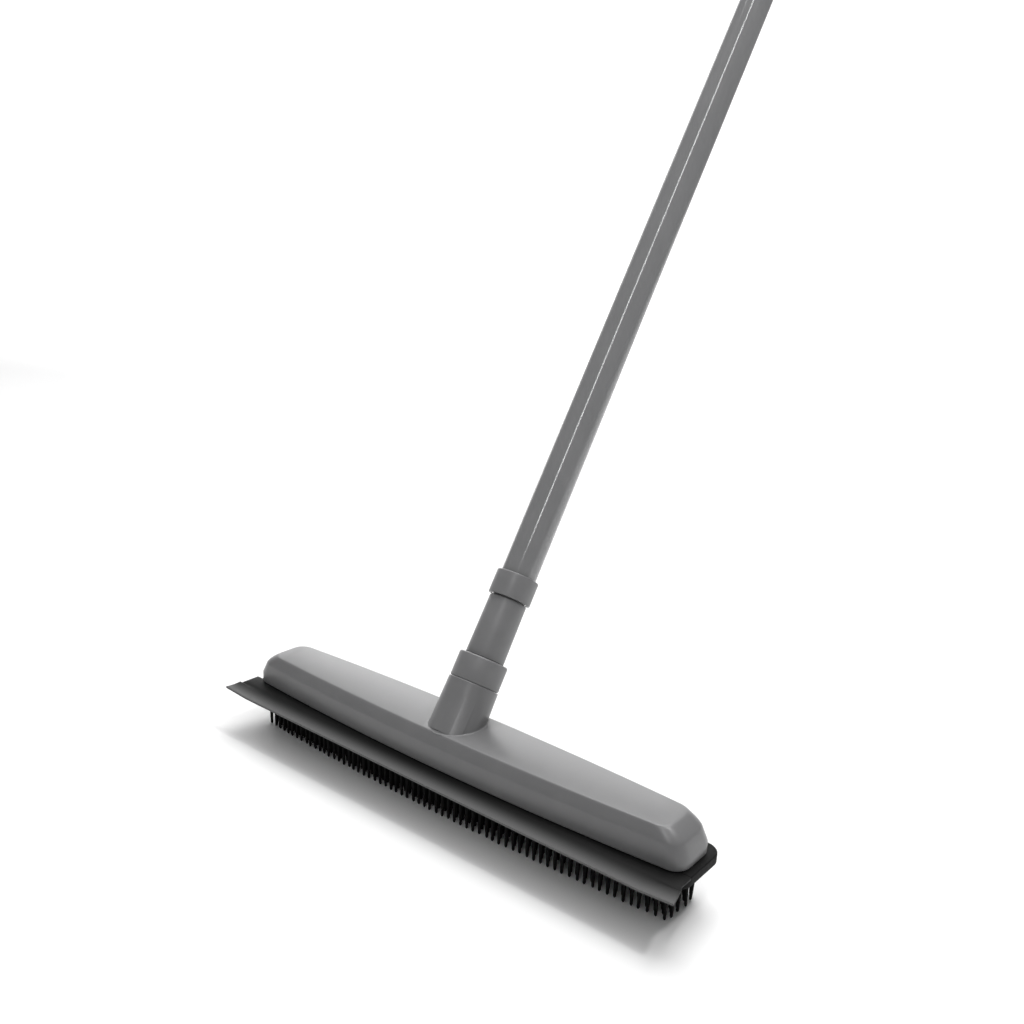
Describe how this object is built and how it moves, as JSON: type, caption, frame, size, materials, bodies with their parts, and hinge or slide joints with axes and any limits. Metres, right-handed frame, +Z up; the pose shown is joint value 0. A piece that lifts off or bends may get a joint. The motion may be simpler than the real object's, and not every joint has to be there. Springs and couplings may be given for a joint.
{
  "type": "rubber broom",
  "caption": "Push broom with a rubber bristle head, a squeegee lip along its front edge and a leaning telescopic pole that unscrews and ends in a swivelling hanging cap.",
  "frame": {"origin": "middle of the bristle field, in the plane of the bristle tips, where the head meets the floor", "axes": "+X along the head, -Y towards the squeegee lip, +Z up; the pole leans back from +Z towards +Y by 33 degrees"},
  "size_m": [0.34, 0.5128, 0.7775],
  "materials": {
    "cover_plastic": "satin mid-grey moulded plastic, fine grain",
    "inner_plastic": "pale grey moulded plastic",
    "fitting_plastic": "satin mid-grey plastic, turned look",
    "pole_coat": "smooth grey powder coat on steel tube",
    "pad_rubber": "matt black natural rubber",
    "lip_rubber": "black rubber that greys towards the lip",
    "zinc_steel": "zinc plated steel"
  },
  "bodies": {
    "head": {"head_cover": "cover_plastic", "carrier_plate": "inner_plastic", "rubber_pad": "pad_rubber", "squeegee_blade": "lip_rubber", "head_screw_1": "zinc_steel", "head_screw_2": "zinc_steel", "head_screw_3": "zinc_steel", "head_screw_4": "zinc_steel", "socket_collar": "fitting_plastic", "thread_insert": "inner_plastic"},
    "lower_pole": {"handle_adapter": "fitting_plastic", "pole_collar": "fitting_plastic", "lower_tube": "pole_coat", "lock_collet": "inner_plastic"},
    "lock": {"lock_nut": "fitting_plastic"},
    "upper_pole": {"upper_tube": "pole_coat", "guide_bush": "inner_plastic", "foot_plug": "inner_plastic", "grip": "fitting_plastic", "top_plug": "inner_plastic", "swivel_pin": "zinc_steel"},
    "cap": {"hanging_cap": "fitting_plastic"}
  },
  "joints": [
    {"name": "handle_turn", "type": "hinge", "parent": "head", "child": "lower_pole", "pos_m": [0, 0.0015, 0.05], "axis": [0, 0.5446, 0.8387], "range_deg": [0, 360]},
    {"name": "lock_twist", "type": "hinge", "parent": "lower_pole", "child": "lock", "pos_m": [0, 0.37687, 0.62801], "axis": [0, 0.5446, 0.8387], "range_deg": [0, 120]},
    {"name": "pole_slide", "type": "slide", "parent": "lower_pole", "child": "upper_pole", "axis": [0, 0.5446, 0.8387], "range_m": [0, 0.48]},
    {"name": "cap_swivel", "type": "hinge", "parent": "upper_pole", "child": "cap", "pos_m": [0, 0.45382, 0.74652], "axis": [0, 0.5446, 0.8387], "continuous": true}
  ]
}
